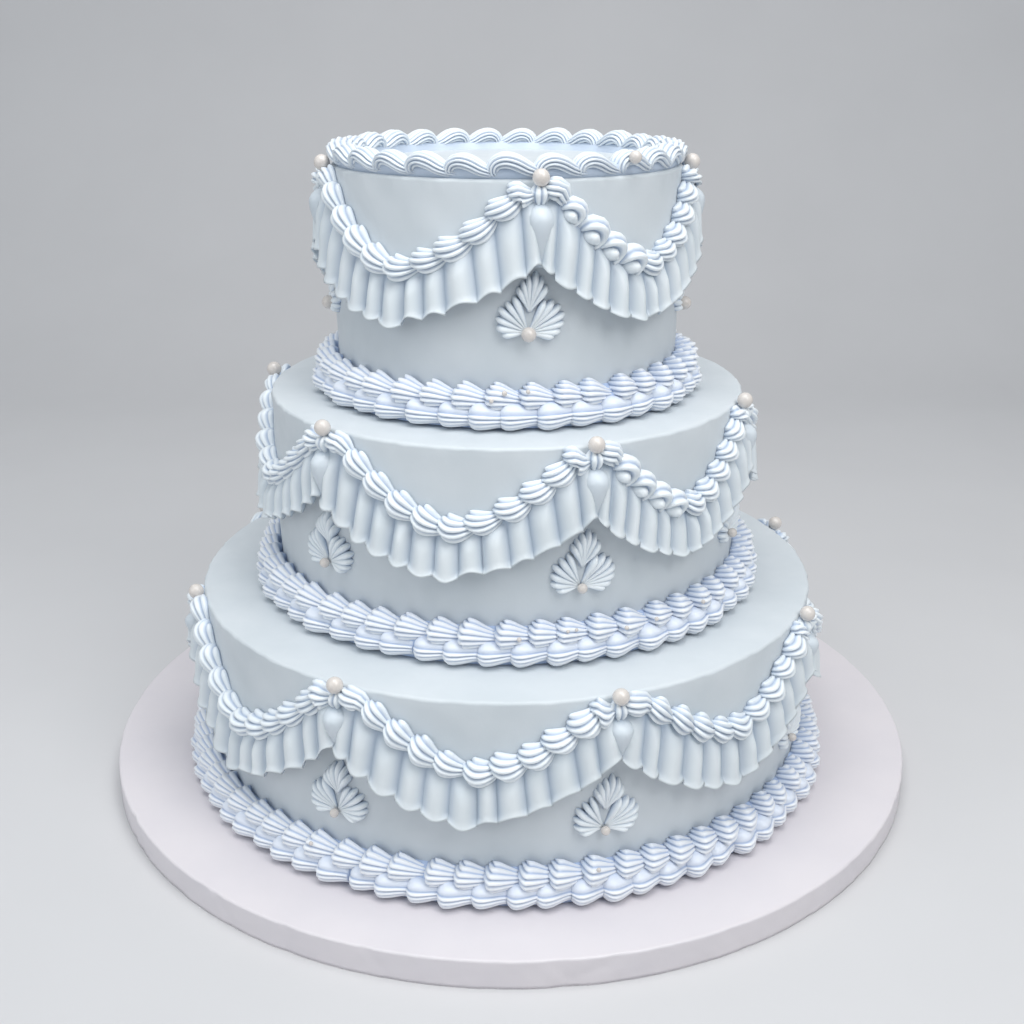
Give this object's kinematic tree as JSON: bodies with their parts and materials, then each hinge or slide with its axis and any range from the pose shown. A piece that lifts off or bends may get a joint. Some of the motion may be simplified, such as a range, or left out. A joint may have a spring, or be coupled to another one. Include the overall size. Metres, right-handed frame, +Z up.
{
  "type": "tiered cake",
  "caption": "Round tiered celebration cake on its board, iced smooth and piped with shell borders, swags with frills, small ornaments and sugar pearls.",
  "frame": {"origin": "middle of the board's underside", "axes": "+Z up; the front of the cake faces -Y and +X is to the right as seen from the front"},
  "size_m": [0.43, 0.43, 0.3271],
  "materials": {
    "smooth_icing": "satin, spread smooth by hand, faintly mottled",
    "piped_icing": "satin with soft highlights, cool blue in the grooves",
    "frill_icing": "satin",
    "sugar_pearl": "pearly gloss",
    "board_foil": "satin foil paper"
  },
  "bodies": {
    "root": {"board": "board_foil", "border_bottom": "piped_icing", "border_middle": "piped_icing", "border_top": "piped_icing", "frill_bottom": "frill_icing", "frill_middle": "frill_icing", "frill_top": "frill_icing", "garland_bottom": "piped_icing", "garland_middle": "piped_icing", "garland_top": "piped_icing", "ornament_bottom_1": "piped_icing", "ornament_bottom_2": "piped_icing", "ornament_bottom_3": "piped_icing", "ornament_bottom_4": "piped_icing", "ornament_bottom_5": "piped_icing", "ornament_bottom_6": "piped_icing", "ornament_bottom_7": "piped_icing", "ornament_bottom_8": "piped_icing", "ornament_middle_1": "piped_icing", "ornament_middle_2": "piped_icing", "ornament_middle_3": "piped_icing", "ornament_middle_4": "piped_icing", "ornament_middle_5": "piped_icing", "ornament_middle_6": "piped_icing", "ornament_top_1": "piped_icing", "ornament_top_2": "piped_icing", "ornament_top_3": "piped_icing", "ornament_top_4": "piped_icing", "ornament_top_5": "piped_icing", "pearl_bottom_1": "sugar_pearl", "pearl_bottom_2": "sugar_pearl", "pearl_bottom_3": "sugar_pearl", "pearl_bottom_4": "sugar_pearl", "pearl_bottom_5": "sugar_pearl", "pearl_bottom_6": "sugar_pearl", "pearl_bottom_7": "sugar_pearl", "pearl_bottom_8": "sugar_pearl", "pearl_middle_1": "sugar_pearl", "pearl_middle_2": "sugar_pearl", "pearl_middle_3": "sugar_pearl", "pearl_middle_4": "sugar_pearl", "pearl_middle_5": "sugar_pearl", "pearl_middle_6": "sugar_pearl", "pearl_top_1": "sugar_pearl", "pearl_top_2": "sugar_pearl", "pearl_top_3": "sugar_pearl", "pearl_top_4": "sugar_pearl", "pearl_top_5": "sugar_pearl", "rope_top": "piped_icing", "tier_bottom": "smooth_icing", "tier_middle": "smooth_icing", "tier_top": "smooth_icing"}
  },
  "joints": []
}
